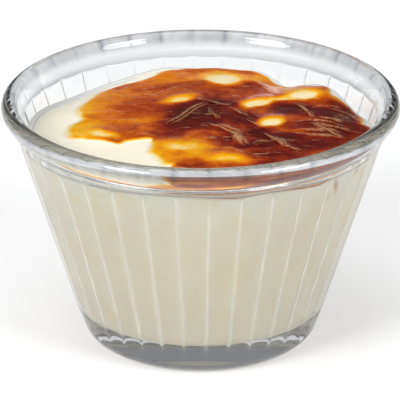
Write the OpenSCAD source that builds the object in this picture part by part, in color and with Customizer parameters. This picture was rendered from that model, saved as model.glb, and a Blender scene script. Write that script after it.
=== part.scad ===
// A clear pressed-glass ramekin with a baked custard in it. The glass is one
// piece: a round lip, a short flare down to a step, 36 flat panels that meet in
// narrow rounded ridges, and a thick plain foot. The custard fills it to a
// little under the step and carries a thin skin, browned over most of its top.
// Millimetres, +Z up, the origin on the axis at the resting plane, -Y the front.

/* [Rim] */
// Outer diameter of the lip
rim_d = 88; // [80:1:104]
// Thickness of the round lip
lip_t = 3.6; // [3:0.1:4.6]

/* [Body] */
// Height from the resting plane to the top of the lip
body_h = 56; // [50:1:64]
// Drop from the top of the lip to the step under the flare
step_drop = 6; // [5:0.1:7.5]
// How far the step stands inside the rim
step_in = 2.8; // [2:0.1:3.4]
// Lean of the outer wall from upright, in degrees
wall_lean = 17.1; // [13:0.1:18.5]

/* [Panels] */
// Number of flat panels round the wall
panel_count = 36; // [30:1:42]
// Width left between two panels under the step
ridge_w_top = 0.5; // [0.3:0.1:1]
// Width left between two panels where the foot begins
ridge_w_low = 1.2; // [0.8:0.1:1.6]
// Turn of the first ridge from the front, in degrees
ridge_turn = 2; // [0:0.5:10]

/* [Foot] */
// Height at which the wall begins to curve in
foot_start_h = 10; // [8:0.5:13]
// Radius of that slow curve
foot_curve_r = 160; // [120:5:220]
// Radius of the rounded corner on which the foot stands
foot_round = 4.2; // [3:0.1:5]
// Width of the flat ring that touches the table
rest_ring_w = 3.5; // [2:0.5:5]
// Depth of the shallow dish inside that ring
dish_depth = 0.8; // [0.4:0.1:1.4]

/* [Well] */
// Thickness of the glass floor
floor_t = 7.2; // [5.5:0.1:9]
// Thickness of the wall beside the floor
wall_low_t = 3.3; // [2.8:0.1:4]
// Radius of the corner between the floor and the wall inside
well_round = 4; // [2.5:0.1:6]

/* [Filling] */
// Drop from the top of the lip to the custard's mean surface
headspace = 8.8; // [7:0.1:14]
// How much the surface rises from the back to the front
front_rise = 0.9; // [0:0.1:1.4]
// Rise of the middle over the edge
dome_rise = 0.6; // [0:0.1:1]
// Clearance between the custard, its skin and the glass
fill_gap = 0.05; // [0.03:0.01:0.1]

/* [Skin] */
// Thickness of the pale skin
skin_t = 0.5; // [0.4:0.1:0.8]
// Extra thickness where the skin is browned
brown_rise = 0.6; // [0.2:0.1:0.9]
// Height of the folds in the browned skin
fold_rise = 0.6; // [0.2:0.1:0.9]
// Half width of one fold
fold_half_w = 1.1; // [0.9:0.1:2]
// Rise of the pale blisters
blister_rise = 1; // [0.4:0.1:1.4]

/* [Hidden] */

CIRCLE_FN = 96;
TURN_FN = 180;
CURVE_STEPS = 6;
OVERLAP = 1;

// The flare starts below the step, inside the panels, and the panelled wall
// ends above the step, inside the flare, so that the two join
flare_root = 1;
// The lower part of the custard is turned, the part above this drop is shaped
cap_depth = 4;

// Rings and spokes of the custard's wavy surface
RINGS = 24;
SPOKES = 80;

// Points of the glass outline, as [radius, height]
lip_r = lip_t / 2;
lip_c = [rim_d / 2 - lip_r, body_h - lip_r];
step_p = [rim_d / 2 - step_in, body_h - step_drop];
wall_top_z = step_p.y + OVERLAP;

function wall_r(z) = step_p.x - (step_p.y - z) * tan(wall_lean);
function on_circle(c, r, a) = c + r * [cos(a), sin(a)];
function arc(c, r, a0, a1) = [for (i = [0:CURVE_STEPS]) on_circle(c, r, a0 + (a1 - a0) * i / CURVE_STEPS)];
function angle_to(a, b) = atan2(b.y - a.y, b.x - a.x);

// The foot: a slow curve off the wall, then the small corner that it runs into
wall_foot = [wall_r(foot_start_h), foot_start_h];
curve_c = on_circle(wall_foot, -foot_curve_r, -wall_lean);
corner_run = sqrt(pow(foot_curve_r - foot_round, 2) - pow(curve_c.y - foot_round, 2));
corner_c = [curve_c.x + corner_run, foot_round];
corner_a = angle_to(curve_c, corner_c);
dish_rim_r = corner_c.x - rest_ring_w;
dish_r = (pow(dish_rim_r, 2) + pow(dish_depth, 2)) / (2 * dish_depth);
dish_a = asin(dish_rim_r / dish_r);

// The flare leaves the step and touches the lip from outside
flare_run = norm(lip_c - step_p);
flare_a = angle_to(step_p, lip_c) - asin(lip_r / flare_run);
flare_top = on_circle(lip_c, lip_r, flare_a - 90);
flare_low = on_circle(step_p, -flare_root, flare_a);

// The well: its wall touches the inside of the lip and the floor's corner
well_z = floor_t + well_round;
well_in = wall_low_t + well_round + (step_p.y - well_z) * sin(wall_lean);
well_c = [step_p.x - well_in / cos(wall_lean), well_z];
well_a = angle_to(well_c, lip_c) + asin((lip_r + well_round) / norm(lip_c - well_c));
well_lean = 90 - well_a;
well_top = on_circle(lip_c, lip_r, 180 - well_lean);
well_low = on_circle(well_c, well_round, -well_lean);

function well_r(z) = well_top.x - (well_top.y - z) * tan(well_lean);
function fill_r(z) = well_r(z) - fill_gap / cos(well_lean);

// Panels: flat cuts whose depth under the ridges gives the ridge widths above
function panel_r(ridge_r, ridge_w) = ridge_r * cos(180 / panel_count - asin(ridge_w / 2 / ridge_r));
panel_top_r = panel_r(step_p.x, ridge_w_top);
panel_low_r = panel_r(wall_foot.x, ridge_w_low);
panel_lean = atan((panel_top_r - panel_low_r) / (step_p.y - wall_foot.y));
panel_w = rim_d * sin(180 / panel_count) * 2;
panel_cut_t = rim_d / 4;
panel_cut_h = body_h * 2;

// The custard's surface. The lists were laid out on a disc of this radius and
// spread with the real one. Places are [x, y].
layout_r = 38;
fill_z = body_h - headspace;
edge_r = fill_r(fill_z);
spread = edge_r / layout_r;

// Blisters: [x, y, half length, half width, turn in degrees, share of the rise]
BLISTERS = [
    [5, 31.5, 5, 4, 0, 1],
    [-4.5, 18.5, 4, 2.5, 50, 0.6],
    [22.5, 21, 7, 3.2, 40, 1],
    [12.5, 16, 4, 3, 20, 0.8],
    [16, 4, 5, 3, -50, 0.7],
    [-4.5, -11, 5, 3.5, -20, 0.6],
    [5.5, -16, 4, 4, 0, 0.7],
    [-22, -3, 5, 4, -15, 0.8],
    [-31, 8, 8, 12, 0, 0.5]
];

// Folds: [x, y] of one end, [x, y] of the other, share of the rise
FOLDS = [
    [[-2.5, 18.5], [3.5, 4], 1],
    [[3.5, 4], [10, -9.5], 0.9],
    [[20.5, 9], [34.5, -1.5], 1],
    [[-26.5, 10.5], [-11, 9.5], 0.7],
    [[-25, 4], [-12, 6], 0.6],
    [[-21, 19.5], [-8, 35], 0.8],
    [[-18, 21.5], [-2, 24], 0.6],
    [[16, 14], [31, 12], 0.7],
    [[14, -12], [31, -12], 0.7],
    [[-12, -22], [-15, -6], 0.8],
    [[-28, -5], [-15, -6], 0.8],
    [[-2, -30], [22, -26], 0.6]
];

// Waves of the edge where it meets the glass: [azimuth, rise, half width in degrees]
EDGE_WAVES = [
    [103, 0.8, 9],
    [82, 0.8, 8],
    [64, 0.6, 7],
    [42, 0.6, 9],
    [20, -0.9, 14],
    [125, -0.3, 12],
    [-60, 0.4, 10],
    [-100, 0.3, 12]
];
// How far these waves reach in from the glass
edge_wave_reach = 5;

// The browned part: a round field, cut off at the front left by two straight edges
brown_c = [4, 4];
brown_field_r = 33;
brown_front_y = -5.5;
brown_corner = [-14.5, -6];
brown_edge_a = -68;
brown_fade = 1.6;

function sum(list) = list * [for (i = list) 1];
function ease(t) = let (c = min(1, max(0, t))) c * c * (3 - 2 * c);
function bell(d, w) = exp(-pow(d / w, 2));
function turned(p, a) = [p.x * cos(a) + p.y * sin(a), p.y * cos(a) - p.x * sin(a)];
function far_from_line(p, a, b) =
    let (t = min(1, max(0, (p - a) * (b - a) / pow(norm(b - a), 2)))) norm(p - a - t * (b - a));
function turn_between(a, b) = abs((a - b + 540) % 360 - 180);

function blister(p, b) =
    let (q = turned(p - [b[0], b[1]], b[4])) b[5] * exp(-pow(q.x / b[2], 2) - pow(q.y / b[3], 2));
function blisters(p) = blister_rise * sum([for (b = BLISTERS) blister(p, b)]);
function folds(p) = fold_rise * sum([for (f = FOLDS) f[2] * bell(far_from_line(p, f[0], f[1]), fold_half_w)]);
function edge_waves(p) =
    bell(layout_r - norm(p), edge_wave_reach)
    * sum([for (w = EDGE_WAVES) w[1] * bell(turn_between(atan2(p.y, p.x), w[0]), w[2])]);

// 1 in the browned part, 0 in the pale part
function browned(p) =
    let (
        round_in = brown_field_r - norm(p - brown_c),
        front_in = max(p.y - brown_front_y, turned(p - brown_corner, brown_edge_a).y)
    ) ease(0.5 + min(round_in, front_in) / brown_fade / 2);

// Height of the custard at a place of the layout, and of the skin on it
function custard_z(p) =
    fill_z - front_rise * p.y / layout_r / 2
    + dome_rise * (1 - pow(norm(p) / layout_r, 2))
    + blisters(p) + edge_waves(p);
function skin_z(p) = custard_z(p) + fill_gap + skin_t + brown_rise * browned(p) + folds(p);

// A surface as points: the middle, then ring after ring out to the glass
function spoke_a(j) = 360 * j / SPOKES;
function layout_p(i, j) = layout_r * i / RINGS * [cos(spoke_a(j)), sin(spoke_a(j))];
function on_custard(p) = [custard_z(p), 0];
function sheet_point(i, j, z) =
    let (r = fill_r(z) * i / RINGS) [r * cos(spoke_a(j)), r * sin(spoke_a(j)), z];
function sheet(of_skin, drop = 0) = [
    for (i = [1:RINGS]) for (j = [0:SPOKES - 1])
        let (p = layout_p(i, j)) sheet_point(i, j, (of_skin ? skin_z(p) : custard_z(p)) + drop)
];
function middle(of_skin, drop = 0) = [0, 0, (of_skin ? skin_z([0, 0]) : custard_z([0, 0])) + drop];

// Faces of such a surface whose points start at a number, seen from above or below
function next(j) = (j + 1) % SPOKES;
function point_no(start, i, j) = start + 1 + (i - 1) * SPOKES + j;
function facing(face, up) = up ? face : [face[2], face[1], face[0]];
function sheet_faces(start, up) = concat(
    [for (j = [0:SPOKES - 1]) facing([start, point_no(start, 1, next(j)), point_no(start, 1, j)], up)],
    [for (i = [1:RINGS - 1]) for (j = [0:SPOKES - 1]) for (half = [0, 1])
        facing(half == 0
            ? [point_no(start, i, j), point_no(start, i, next(j)), point_no(start, i + 1, j)]
            : [point_no(start, i, next(j)), point_no(start, i + 1, next(j)), point_no(start, i + 1, j)], up)]
);
// Faces of the band that joins two rings of SPOKES points, the first one above
function band_faces(high, low) = [
    for (j = [0:SPOKES - 1]) for (half = [0, 1])
        half == 0 ? [high + j, high + next(j), low + j] : [high + next(j), low + next(j), low + j]
];
SHEET_POINTS = 1 + RINGS * SPOKES;
LAST_RING = 1 + (RINGS - 1) * SPOKES;

// Half section of the wall under the step, with the foot and the floor
module wall_section() {
    difference() {
        union() {
            polygon(concat(
                arc([0, dish_depth - dish_r], dish_r, 90, 90 - dish_a),
                [[corner_c.x, 0]],
                arc(curve_c, foot_curve_r, corner_a, -wall_lean),
                [
                    [wall_r(wall_top_z), wall_top_z],
                    [well_r(wall_top_z), wall_top_z],
                    well_low,
                    [well_c.x, floor_t],
                    [0, floor_t]
                ]
            ));
            // Only the lower half of the corner's circle, so it stays under the floor
            intersection() {
                translate(corner_c) circle(r = foot_round, $fn = CIRCLE_FN);
                square([rim_d / 2, foot_round]);
            }
        }
        translate(well_c) circle(r = well_round, $fn = CIRCLE_FN);
    }
}

// Half section of the flare and the round lip on it
module lip_section() {
    polygon([flare_low, flare_top, lip_c, well_top, [well_r(flare_low.y), flare_low.y]]);
    translate(lip_c) circle(r = lip_r, $fn = CIRCLE_FN);
}

// What a flat panel takes off the round wall, for one panel facing +X
module panel_cut() {
    translate([panel_top_r, 0, step_p.y])
        rotate([0, panel_lean, 0])
            translate([0, -panel_w / 2, -panel_cut_h + OVERLAP])
                cube([panel_cut_t, panel_w, panel_cut_h]);
}

module glass_ramekin() {
    color([0.86, 0.91, 0.92, 0.4]) union() {
        difference() {
            rotate_extrude($fn = TURN_FN) wall_section();
            for (i = [0:panel_count - 1])
                rotate([0, 0, ridge_turn - 90 + 180 / panel_count + 360 * i / panel_count]) panel_cut();
        }
        rotate_extrude($fn = TURN_FN) lip_section();
    }
}

// The custard below its shaped cap, turned to fit the well
module custard_body() {
    cap_z = fill_z - cap_depth;
    rotate_extrude($fn = TURN_FN) {
        polygon([
            [0, floor_t + fill_gap],
            [well_c.x, floor_t + fill_gap],
            on_circle(well_c, well_round - fill_gap, -well_lean),
            [fill_r(cap_z), cap_z],
            [0, cap_z]
        ]);
        translate(well_c) circle(r = well_round - fill_gap, $fn = CIRCLE_FN);
    }
}

// The shaped cap, let into the body by the overlap
module custard_cap() {
    low_z = fill_z - cap_depth - OVERLAP;
    low_r = fill_r(low_z) - fill_gap;
    low_ring = [for (j = [0:SPOKES - 1]) [low_r * cos(spoke_a(j)), low_r * sin(spoke_a(j)), low_z]];
    polyhedron(
        points = concat([middle(false)], sheet(false), low_ring),
        faces = concat(
            sheet_faces(0, true),
            band_faces(LAST_RING, SHEET_POINTS),
            [[for (j = [0:SPOKES - 1]) SHEET_POINTS + j]]
        )
    );
}

module custard() {
    color([0.97, 0.93, 0.82]) union() {
        custard_body();
        custard_cap();
    }
}

module browned_skin() {
    color([0.66, 0.3, 0.08]) polyhedron(
        points = concat([middle(true)], sheet(true), [middle(false, fill_gap)], sheet(false, fill_gap)),
        faces = concat(
            sheet_faces(0, true),
            band_faces(LAST_RING, SHEET_POINTS + LAST_RING),
            sheet_faces(SHEET_POINTS, false)
        )
    );
}

glass_ramekin();
custard();
browned_skin();
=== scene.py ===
# A clear pressed-glass ramekin of baked custard with a wrinkled browned skin,
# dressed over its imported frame. Metres, +Z up, -Y the front.

import math

import bmesh
import bpy
import numpy as np
from bpy.props import FloatProperty, FloatVectorProperty, IntProperty, PointerProperty
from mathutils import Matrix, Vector, noise


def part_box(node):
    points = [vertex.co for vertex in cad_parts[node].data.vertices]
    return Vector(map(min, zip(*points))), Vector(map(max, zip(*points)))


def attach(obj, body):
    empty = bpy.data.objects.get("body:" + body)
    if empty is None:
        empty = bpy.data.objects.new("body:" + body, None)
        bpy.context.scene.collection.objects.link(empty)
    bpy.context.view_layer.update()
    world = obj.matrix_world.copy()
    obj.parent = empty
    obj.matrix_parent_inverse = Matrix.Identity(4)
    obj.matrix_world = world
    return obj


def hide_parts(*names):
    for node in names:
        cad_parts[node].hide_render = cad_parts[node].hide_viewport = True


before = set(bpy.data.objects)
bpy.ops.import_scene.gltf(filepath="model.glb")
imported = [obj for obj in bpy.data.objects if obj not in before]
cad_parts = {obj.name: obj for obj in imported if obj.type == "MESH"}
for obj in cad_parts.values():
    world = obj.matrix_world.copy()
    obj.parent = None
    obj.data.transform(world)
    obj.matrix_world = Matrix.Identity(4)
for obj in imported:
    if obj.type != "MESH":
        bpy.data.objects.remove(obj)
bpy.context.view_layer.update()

bl_info = {
    "name": "Custard ramekin",
    "version": (1, 0, 0),
    "blender": (4, 5, 0),
    "location": "3D View > Sidebar > Ramekin",
    "description": "Builds a panelled glass ramekin with a browned baked custard",
    "category": "Add Mesh",
}

GLASS_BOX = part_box("glass_ramekin")
MM = 0.001

# Stations of the glass section on each of its runs
DISH_STEPS = 7
CORNER_STEPS = 10
CURVE_STEPS = 7
WALL_STEPS = 14
STEP_STEPS = 6
FLARE_STEPS = 8
LIP_STEPS = 30
WELL_STEPS = 12
FLOOR_STEPS = 4
# Columns of one panel, as shares of the ridge's half width, then of what is left up to the panel's middle
RIDGE_SHARES = [0, 0.3, 0.6, 0.85, 1, 1.25]
PANEL_SHARES = [0.2, 0.5, 1]

# Rings and spokes of the custard and its skin
CUSTARD_SPOKES = 480
CUSTARD_RINGS = 24
SIDE_STEPS = 60
SKIN_SPOKES = 440
SKIN_RINGS = 190
UNDER_RINGS = 8

# The lists below were laid out in millimetres on a flat disc of this radius at
# this height, seen at the photograph's angle
LAYOUT_R = 38
LAYOUT_Z = 48
VIEW_ELEVATION = 23.8

# Blisters: x, y, half length, half width, turn in degrees, share of the rise
BLISTERS = [
    (5, 29.5, 5, 4, 0, 1),
    (-4.5, 17.5, 4, 2.5, 35, 0.5),
    (24, 20, 6, 3.2, 10, 1),
    (13.5, 15.5, 4.4, 2.4, 30, 0.8),
    (16, 3.5, 3.8, 2.8, 45, 0.7),
    (-4.5, -12, 5, 3.5, -10, 0.5),
    (5.5, -18, 5, 3.4, -15, 0.6),
    (-22, -4.5, 5, 3.5, -15, 0.7),
    (-31, 7, 8, 12, 0, 0.5),
]

# Waves of the edge where it meets the glass: azimuth, rise, half width in degrees
EDGE_WAVES = [
    (140, -1.4, 22),
    (103, 0.8, 9),
    (83, 0.4, 8),
    (69, 0.4, 6),
    (57.5, -1.9, 6.5),
    (42, 0.6, 7),
    (20, -1.4, 12),
    (-60, 0.4, 10),
    (-100, 0.3, 12),
]
# How far in from the glass those waves reach, in millimetres
EDGE_WAVE_REACH = 6.5
# Share of the radius, next to the glass, that follows the drips
DRIP_SHARE = 0.02

# Outline of the browned part
BROWN_OUTLINE = [
    (-9, 35.6), (-10.5, 33.5), (-12.5, 32), (-15.5, 29.6), (-19, 27.2), (-22, 24.3),
    (-24.8, 21.4), (-26.4, 17.5), (-27, 13), (-26.6, 9.5), (-26, 6.5), (-27.8, 4),
    (-29, 1.5), (-29.2, -1.5), (-28.4, -4.2), (-27, -5.3), (-24, -5.5), (-22, -6.2),
    (-20, -7), (-17.5, -7.4), (-16.8, -6.6), (-15, -6.3), (-12, -5.3), (-10.6, -5.6),
    (-11, -8), (-10.3, -11), (-9.6, -15), (-9.4, -18), (-8.6, -19.6), (-6.5, -20.6),
    (-5.8, -23), (-7, -28), (-9, -36), (-9.5, -42), (10, -46), (34, -34), (46, -5),
    (38.5, 0), (36.4, 4), (35.2, 8), (33.6, 13), (32.2, 17), (30, 21), (28.2, 25.3),
    (24, 27.3), (20, 27.3), (17.5, 29.5), (16, 33), (12, 37), (0, 39), (-7, 37.2),
]
# The stretch of that outline where the skin ends in a torn, sharp edge
TORN_EDGE = [(-27, -5.3), (-22, -6.2), (-17.5, -7.4), (-15, -6.3), (-10.6, -5.6)]
# Width over which the browning fades at its outline, how much less that is at the
# torn edge, and how near that edge counts, in millimetres
FADE_W = 3.2
TORN_CUT = 2.7
TORN_REACH = 1.5
# Browning where the list below says nothing, and the browning from which the skin
# has its full thickness and its creases are as pale as they get
MEAN_BROWNING = 0.62
FULL_SKIN = 0.5
FULL_CREASE = 0.3
# How fast the skin's underside leaves the rim's grey, a painted shade, as the skin over it browns
UNDERSIDE_GAIN = 3

# Browning inside the outline: x, y, half length, half width, turn in degrees,
# browning from 0 to 1, softness of the edge as a share of the size
BROWNING = [
    (-24, 14, 4.5, 13, -8, 0.3, 0.8),
    (-25, -1.5, 5.5, 4.5, 0, 0.3, 0.7),
    (-6, 31, 9, 4, 8, 0.5, 0.8),
    (-17, 26, 6, 2.2, 30, 0.6, 0.8),
    (-19, 18.5, 6, 3, 20, 0.5, 0.9),
    (-20, 6, 7, 2, -6, 0.56, 0.9),
    (-13, 12, 9, 3.4, 5, 0.7, 0.8),
    (-12, 17.5, 4.5, 2, 10, 0.7, 0.9),
    (-12.5, 5, 3.5, 1.2, 5, 0.5, 0.9),
    (-13, 0, 9, 3, 5, 0.62, 0.8),
    (-3, 27, 9, 1.8, 12, 0.72, 0.8),
    (3, 23, 8, 3.5, 0, 0.7, 0.8),
    (11, 26, 4, 3.2, -35, 0.76, 0.7),
    (14.5, 31, 6, 2.4, -14, 0.42, 0.7),
    (18.5, 25.5, 4, 2.4, -35, 0.48, 0.8),
    (1, 10, 10, 7.5, 50, 0.97, 0.5),
    (-3, 2, 5, 3, 10, 0.9, 0.7),
    (-6, -2.5, 4, 2.5, 0, 0.8, 0.8),
    (8, 7, 7, 5, -40, 0.9, 0.7),
    (12, 13, 6, 1.6, 12, 0.66, 0.8),
    (20, 12, 4.5, 3.4, 20, 0.98, 0.6),
    (25.5, 16, 6, 1.6, 8, 0.72, 0.8),
    (28, 10, 8, 3.4, -8, 0.93, 0.7),
    (31, 4, 6, 4.5, -30, 0.9, 0.7),
    (33, 12, 2, 5, 30, 0.88, 0.8),
    (24, 2, 6, 3, -10, 0.84, 0.7),
    (19, -6, 6, 3.6, -15, 0.96, 0.6),
    (13, -3, 4, 3.4, -30, 0.95, 0.6),
    (12.5, -9, 5, 2.4, 10, 0.94, 0.6),
    (6, -4, 6, 3.5, -45, 0.86, 0.7),
    (1, -3, 3.5, 1.8, -15, 0.68, 0.8),
    (-1, -6.5, 3, 1.5, -30, 0.6, 0.8),
    (3, -8.5, 4, 1.8, 0, 0.76, 0.8),
    (30, -3, 7, 4, 15, 0.88, 0.7),
    (26.5, -6, 6, 1.6, 12, 0.8, 0.8),
    (24, -10, 8, 3, 15, 0.88, 0.7),
    (16, -14.5, 7, 2.8, 8, 0.86, 0.7),
    (14, -18.5, 8, 2.4, 10, 0.82, 0.8),
    (-4, -21, 6, 1.4, -4, 0.74, 0.7),
    (-5, -9, 6, 3, -4, 0.34, 0.6),
    (-7.5, -15, 3, 5, 0, 0.37, 0.6),
    (-4, -16, 3.4, 2.6, 0, 0.5, 0.8),
    (-1.5, -18.5, 3, 1.6, 0, 0.68, 0.8),
    (-1, -12.5, 2.4, 2.6, 0, 0.38, 0.7),
    (2, -29, 16, 5, 0, 0.66, 0.5),
    (-1, -25, 5, 2, 0, 0.42, 0.8),
    (9, -25, 4, 2, 0, 0.7, 0.8),
    (16, -22, 4, 2, 10, 0.42, 0.8),
    (5.5, -16.5, 5, 2.8, -12, 0.26, 0.8),
    (5, 31.2, 4.2, 3.8, 0, 0.13, 0.6),
    (-4.8, 18.2, 3.6, 2, 32, 0.2, 0.8),
    (23.4, 21, 3.8, 3.2, 12, 0.13, 0.6),
    (18.6, 18.6, 3, 1.3, 8, 0.22, 0.8),
    (12.8, 16.2, 3.6, 2.3, 28, 0.15, 0.6),
    (15.4, 4.6, 2.8, 2.5, 48, 0.15, 0.6),
    (-21.5, -2.6, 3.6, 1.4, -35, 0.2, 0.9),
    (-4, -9.5, 3.8, 1.8, -5, 0.22, 0.9),
]

# Creases of the skin: half width, rise, paleness from 0 to 1, and the points that each one follows. The
# paleness is partly the skin's own colour and partly a painted highlight for the light the creases catch
CREASES = [
    (0.5, 0.3, 0.7, [(-7.6, 1.8), (-5, 6.6), (-2.6, 10.6), (-0.2, 14.6), (1.2, 17.6)]),
    (0.9, 0.35, 0.6, [(-2.5, 18.4), (0.5, 18), (3.2, 15.6), (6, 13)]),
    (0.4, 0.3, 0.9, [(6, 13), (8, 10), (9.5, 8)]),
    (0.35, 0.25, 0.5, [(1.6, 13.6), (3, 9.4), (4.4, 5.4)]),
    (0.5, 0.35, 0.9, [(1.4, 4.6), (4, 0.8), (6.4, -2.8), (8.4, -6.8), (10, -10)]),
    (0.35, 0.25, 0.7, [(3.4, 3.2), (6.6, -0.6), (8.4, -4.4)]),
    (0.35, 0.25, 0.8, [(9.3, 6.4), (11, 4.4), (13.2, 1)]),
    (0.85, 0.4, 0.8, [(13.6, -1), (15.8, -6), (17.8, -10), (20.2, -12.8), (22, -13.8)]),
    (0.4, 0.3, 0.9, [(20.8, 16), (22.6, 12), (24, 8.6), (25, 5.6)]),
    (0.5, 0.3, 0.7, [(21.4, 14.6), (23.4, 11), (25, 9.4)]),
    (0.5, 0.3, 0.9, [(19.5, 4.6), (24, 4.6), (28.5, 4.2), (32.6, 1.4)]),
    (0.9, 0.3, 0.8, [(22, 2.8), (25, 2.4), (29, 1), (33, 0.4)]),
    (0.6, 0.3, 0.8, [(25, 6.6), (28.4, 6.4), (32, 4.4)]),
    (0.6, 0.3, 0.8, [(20.6, -0.2), (24, -0.8), (27.6, -0.4), (31, -2)]),
    (0.7, 0.3, 0.8, [(23.4, 3), (26.4, 0), (29, -3.4), (31.4, -6)]),
    (0.5, 0.3, 0.8, [(19, -1.6), (22.6, -3.4), (27.6, -4), (31.2, -6.2)]),
    (0.3, 0.2, 0.5, [(23.6, 13), (27, 14.4), (30, 14), (31.6, 11.6)]),
    (0.4, 0.25, 0.6, [(29, 14), (31.4, 9.4), (35, 5)]),
    (0.35, 0.2, 0.5, [(30.4, 1), (34, -3.2)]),
    (0.35, 0.2, 0.5, [(10.4, -10), (12.6, -7.6), (15.4, -7.4)]),
    (0.4, 0.25, 0.5, [(3, -10.4), (6.4, -11), (9.8, -13.4)]),
    (0.4, 0.3, 0.7, [(9.4, 30.8), (11.6, 30), (14, 26.2), (15.6, 22.4), (17, 20.6)]),
    (0.3, 0.25, 0.6, [(-26.4, 10), (-22, 10.2), (-16.6, 10.4), (-14, 11.6)]),
    (0.3, 0.2, 0.5, [(-23.4, 6.4), (-18, 6.2), (-13, 5)]),
    (0.3, 0.3, 0.7, [(-20, 19.6), (-17, 24), (-15.4, 28)]),
    (0.3, 0.2, 0.6, [(-18.4, 21.4), (-13.4, 21), (-9.6, 21.2), (-5, 25.6), (-1.6, 27.6), (2, 26.8)]),
    (0.3, 0.2, 0.5, [(-4.6, 25.6), (-2, 21.6), (1, 18.6)]),
    (0.4, 0.3, 0.5, [(-9.4, 34.4), (-6.6, 34), (-4.6, 31)]),
    (0.3, 0.25, 0.4, [(-8.6, -5), (-4, -5.4), (-1.6, -3), (1, -1.6)]),
    (0.35, 0.2, 0.4, [(-15, -3.8), (-11.6, -3.4), (-9.4, -4.4)]),
]
# Each crease has a twin this far beside it. It counts as this half width at most, of
# which its ends have the first share and its middle has the second in addition
TWIN_GAP = 0.35
CREASE_CAP = 0.55
CREASE_ENDS = 0.3
CREASE_MIDDLE = 0.6
# The way to a crease, in half widths, at which nothing of it shows
CREASE_GONE = 4

# Fields of fine wrinkles: turn in degrees, spacing across and along, rise, centre and reach of the field
WRINKLES = [
    (3, 1.7, 11, 0.12, (-16, 14), 14),
    (16, 1.8, 10, 0.12, (0, 26), 9),
    (-50, 1.5, 9, 0.16, (14, 2), 15),
    (-8, 1.6, 9, 0.14, (28, 4), 9),
    (8, 1.8, 8, 0.12, (6, -14), 10),
]
# How thin the wrinkles are, as a share of the noise that draws them, and the size and
# contrast of the patches in which they show
WRINKLE_LINE = 0.11
WRINKLE_PATCH = 5
PATCH_CONTRAST = 1.6

# How the skin's flow bends its browning, creases and wrinkles: size of the bends and
# how far each shifts
FLOWS = [(6, 1.2), (2.4, 0.5)]

# How far the skin's underside is let into the custard
SKIN_SINK = 0.02

# Places where the browned rim runs down the glass: azimuth, depth, half width in degrees
DRIPS = [
    (-80, 0.5, 6),
    (-56, 0.8, 8),
    (-50, 0.5, 4),
]

# Brown stains on the custard's side: azimuth, height, half width, half height in
# millimetres, lean in degrees, strength
STAINS = [
    (-41.5, 45.6, 0.5, 2.2, 25, 0.9),
    (-31.5, 46.8, 0.8, 0.45, 30, 0.8),
    (-44, 43.4, 0.7, 1.2, 30, 0.25),
]

# Colours of the skin by its browning
SKIN_COLOURS = [
    (0.0, "#EFE8D6"),
    (0.1, "#E3D8BC"),
    (0.2, "#E3C982"),
    (0.3, "#E2A416"),
    (0.4, "#DA8A06"),
    (0.5, "#CE7208"),
    (0.62, "#B24C0A"),
    (0.74, "#882A08"),
    (0.86, "#5E1005"),
    (1.0, "#400603"),
]

# How strongly the glass takes on its colour in depth, per metre
GLASS_DENSITY = 12.0
# The lip's painted shade: how far its grey-blue tint reaches inwards and down, in radii of the lip, and the
# strength and width of the darker painted line where each ridge runs up to it
LIP_TINT_IN = 0.8
LIP_TINT_DOWN = 1.5
LIP_LINE = 0.25
LIP_LINE_W = 0.5 * MM

# The room: its tones from low to high, its tone behind the object, the heights between
# which the white backdrop ends, as shares of straight up, and the glow of its floor
ROOM_TONES = [(0.1, "#242526"), (0.55, "#343536"), (1.0, "#C4C4C2")]
BEHIND_TONE = "#86878A"
WHITE = "#FFFFFF"
BACKDROP_START = 0.01
BACKDROP_END = 0.05
FLOOR_GLOW = 0.3
# Lamps: name, place, size and power
LAMPS = [
    ("soft_overhead", (-0.2, 0.15, 1.25), 1.0, 4.3),
    ("soft_left", (-0.9, -0.9, 0.85), 0.7, 16),
    ("soft_right", (1.0, -0.8, 0.8), 0.7, 12.5),
]


def shares(colour):
    """An sRGB hex string as three shares."""
    return [int(colour[n:n + 2], 16) / 255 for n in (1, 3, 5)]


def length_field(label, default, about):
    """A length in metres that a user can change."""
    return FloatProperty(name=label, description=about, default=default, unit="LENGTH")


def angle_field(label, degrees, about):
    """An angle that a user can change, given in degrees."""
    return FloatProperty(name=label, description=about, default=math.radians(degrees), subtype="ANGLE")


def colour_field(label, colour, about):
    """A colour that a user can change, given as an sRGB hex string."""
    return FloatVectorProperty(
        name=label, description=about, size=3, default=shares(colour), subtype="COLOR_GAMMA")


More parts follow.
